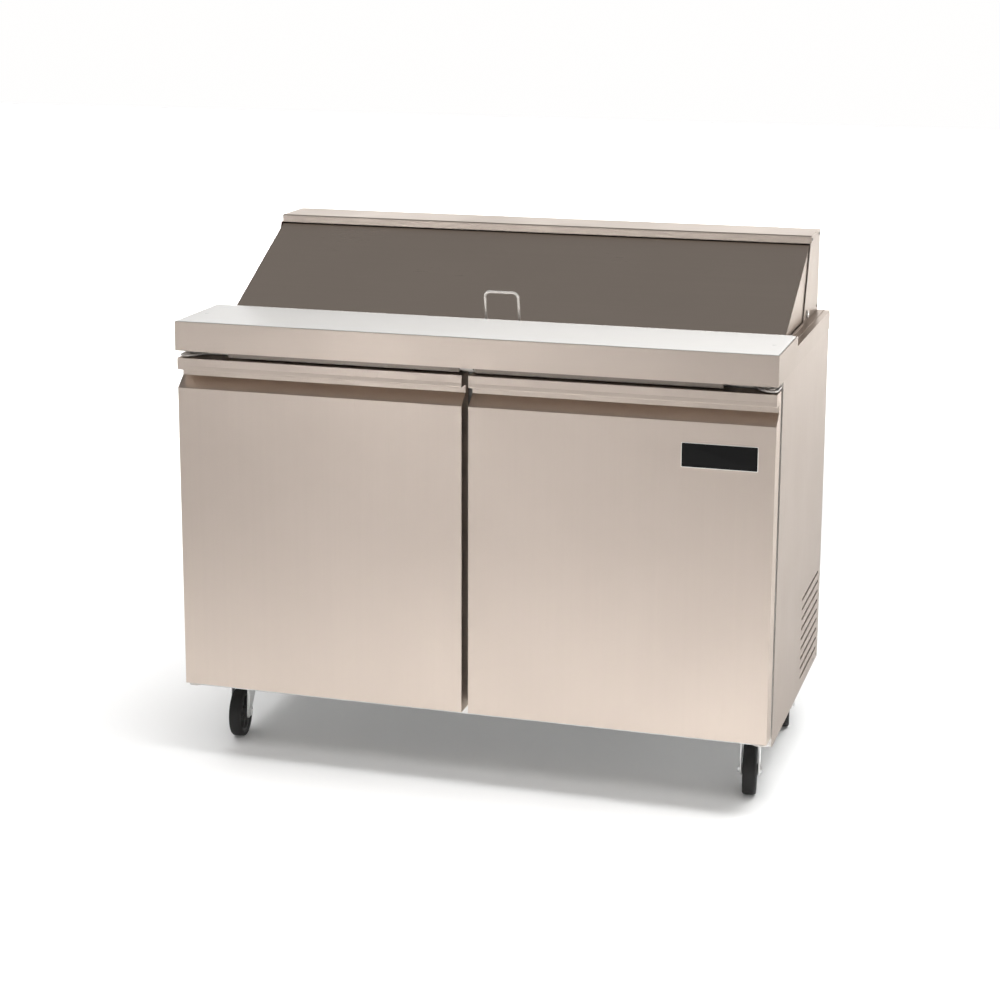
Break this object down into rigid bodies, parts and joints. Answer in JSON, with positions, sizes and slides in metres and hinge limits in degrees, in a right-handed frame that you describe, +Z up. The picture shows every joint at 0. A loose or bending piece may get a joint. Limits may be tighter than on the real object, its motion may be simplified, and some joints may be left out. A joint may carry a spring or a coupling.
{
  "type": "sandwich prep table",
  "caption": "Refrigerated sandwich prep table on casters with overlay doors, a full-width cutting board, food pans and a sloped lid that swings back into a fixed hood.",
  "frame": {"origin": "on the floor under the middle of the bounding box", "axes": "+X to the right seen from the doors, +Y towards the rear grille, +Z up"},
  "size_m": [1.225, 0.664, 1.077],
  "materials": {
    "outer_steel": "vertical brushed stainless steel",
    "lid_steel": "brushed stainless steel",
    "inner_steel": "satin stainless sheet",
    "back_steel": "galvanised sheet",
    "pan_steel": "bright drawn stainless steel",
    "foam": "polyurethane foam",
    "board": "white polyethylene, lightly textured",
    "gasket": "soft black vinyl",
    "bracket": "dark plated steel",
    "bright_steel": "polished steel",
    "zinc": "bright zinc plating",
    "wheel": "black moulded rubber",
    "nylon": "white nylon",
    "coated_wire": "white epoxy coated wire",
    "shelf_metal": "satin stainless steel",
    "coil": "mill finish fins",
    "compressor_black": "black enamel",
    "black_plastic": "moulded plastic",
    "badge": "gloss black, unmarked"
  },
  "bodies": {
    "cabinet": {"side_panel_left": "outer_steel", "side_panel_right": "outer_steel", "back_panel": "back_steel", "base_pan": "back_steel", "worktop": "outer_steel", "pan_rails": "inner_steel", "inner_liner": "inner_steel", "foam_insulation": "foam", "centre_mullion": "inner_steel", "front_frame": "inner_steel", "door_brackets": "bracket", "hinge_pins": "bright_steel", "cabinet_screws": "bright_steel", "shelf_left": "coated_wire", "shelf_right": "coated_wire", "shelf_clips": "shelf_metal", "shelf_pilasters": "shelf_metal", "evaporator_coil": "coil", "evaporator_housing": "inner_steel", "compressor": "compressor_black", "condenser_coil": "coil", "condenser_fan_shroud": "back_steel", "rear_grille": "back_steel", "controller": "black_plastic", "hood_canopy": "outer_steel", "hood_pins": "bright_steel", "hood_rails": "outer_steel", "caster_plates": "zinc", "caster_bolts": "zinc", "pans_front": "pan_steel", "pans_rear": "pan_steel", "cable_gland": "black_plastic"},
    "board": {"cutting_board": "board"},
    "door_left": {"door_left_skin": "outer_steel", "door_left_liner": "inner_steel", "door_left_foam": "foam", "door_left_gasket": "gasket", "door_left_bushes": "nylon"},
    "door_right": {"door_right_skin": "outer_steel", "door_right_liner": "inner_steel", "door_right_foam": "foam", "door_right_gasket": "gasket", "door_right_bushes": "nylon", "door_right_badge": "badge"},
    "lid": {"lid_skin": "lid_steel", "lid_liner": "inner_steel", "lid_foam": "foam", "lid_handle": "bright_steel"},
    "evaporator_fan": {"evaporator_fan": "black_plastic"},
    "condenser_fan": {"condenser_fan": "black_plastic"},
    "caster_front_left": {"caster_fork_front_left": "zinc"},
    "wheel_front_left": {"caster_wheel_front_left": "wheel"},
    "brake_front_left": {"caster_brake_front_left": "zinc"},
    "caster_front_right": {"caster_fork_front_right": "zinc"},
    "wheel_front_right": {"caster_wheel_front_right": "wheel"},
    "brake_front_right": {"caster_brake_front_right": "zinc"},
    "caster_rear_left": {"caster_fork_rear_left": "zinc"},
    "wheel_rear_left": {"caster_wheel_rear_left": "wheel"},
    "caster_rear_right": {"caster_fork_rear_right": "zinc"},
    "wheel_rear_right": {"caster_wheel_rear_right": "wheel"}
  },
  "joints": [
    {"name": "door_left_hinge", "type": "hinge", "parent": "cabinet", "child": "door_left", "pos_m": [-0.597, -0.308, 0.5], "axis": [0, 0, -1], "range_deg": [0, 105]},
    {"name": "door_right_hinge", "type": "hinge", "parent": "cabinet", "child": "door_right", "pos_m": [0.597, -0.308, 0.5], "axis": [0, 0, 1], "range_deg": [0, 105]},
    {"name": "lid_hinge", "type": "hinge", "parent": "cabinet", "child": "lid", "pos_m": [0, 0.168, 0.918], "axis": [-1, 0, 0], "range_deg": [0, 70]},
    {"name": "board_lift", "type": "slide", "parent": "cabinet", "child": "board", "axis": [0, 0, 1], "range_m": [0, 0.03]},
    {"name": "evaporator_fan_spin", "type": "hinge", "parent": "cabinet", "child": "evaporator_fan", "pos_m": [0, 0.178, 0.662], "axis": [0, 1, 0], "continuous": true},
    {"name": "condenser_fan_spin", "type": "hinge", "parent": "cabinet", "child": "condenser_fan", "pos_m": [0.478, 0.183, 0.24], "axis": [1, 0, 0], "continuous": true},
    {"name": "caster_front_left_swivel", "type": "hinge", "parent": "cabinet", "child": "caster_front_left", "pos_m": [-0.552, -0.16, 0.11], "axis": [0, 0, 1], "continuous": true},
    {"name": "wheel_front_left_spin", "type": "hinge", "parent": "caster_front_left", "child": "wheel_front_left", "pos_m": [-0.54783, -0.18971, 0.051], "axis": [0.9903, 0.1392, 0], "continuous": true},
    {"name": "brake_front_left_press", "type": "hinge", "parent": "caster_front_left", "child": "brake_front_left", "pos_m": [-0.55478, -0.14019, 0.095], "axis": [-0.9903, -0.1392, 0], "range_deg": [0, 10]},
    {"name": "caster_front_right_swivel", "type": "hinge", "parent": "cabinet", "child": "caster_front_right", "pos_m": [0.552, -0.16, 0.11], "axis": [0, 0, 1], "continuous": true},
    {"name": "wheel_front_right_spin", "type": "hinge", "parent": "caster_front_right", "child": "wheel_front_right", "pos_m": [0.55617, -0.18971, 0.051], "axis": [0.9903, 0.1392, 0], "continuous": true},
    {"name": "brake_front_right_press", "type": "hinge", "parent": "caster_front_right", "child": "brake_front_right", "pos_m": [0.54922, -0.14019, 0.095], "axis": [-0.9903, -0.1392, 0], "range_deg": [0, 10]},
    {"name": "caster_rear_left_swivel", "type": "hinge", "parent": "cabinet", "child": "caster_rear_left", "pos_m": [-0.552, 0.246, 0.11], "axis": [0, 0, 1], "continuous": true},
    {"name": "wheel_rear_left_spin", "type": "hinge", "parent": "caster_rear_left", "child": "wheel_rear_left", "pos_m": [-0.54783, 0.21629, 0.051], "axis": [0.9903, 0.1392, 0], "continuous": true},
    {"name": "caster_rear_right_swivel", "type": "hinge", "parent": "cabinet", "child": "caster_rear_right", "pos_m": [0.552, 0.246, 0.11], "axis": [0, 0, 1], "continuous": true},
    {"name": "wheel_rear_right_spin", "type": "hinge", "parent": "caster_rear_right", "child": "wheel_rear_right", "pos_m": [0.55617, 0.21629, 0.051], "axis": [0.9903, 0.1392, 0], "continuous": true}
  ]
}
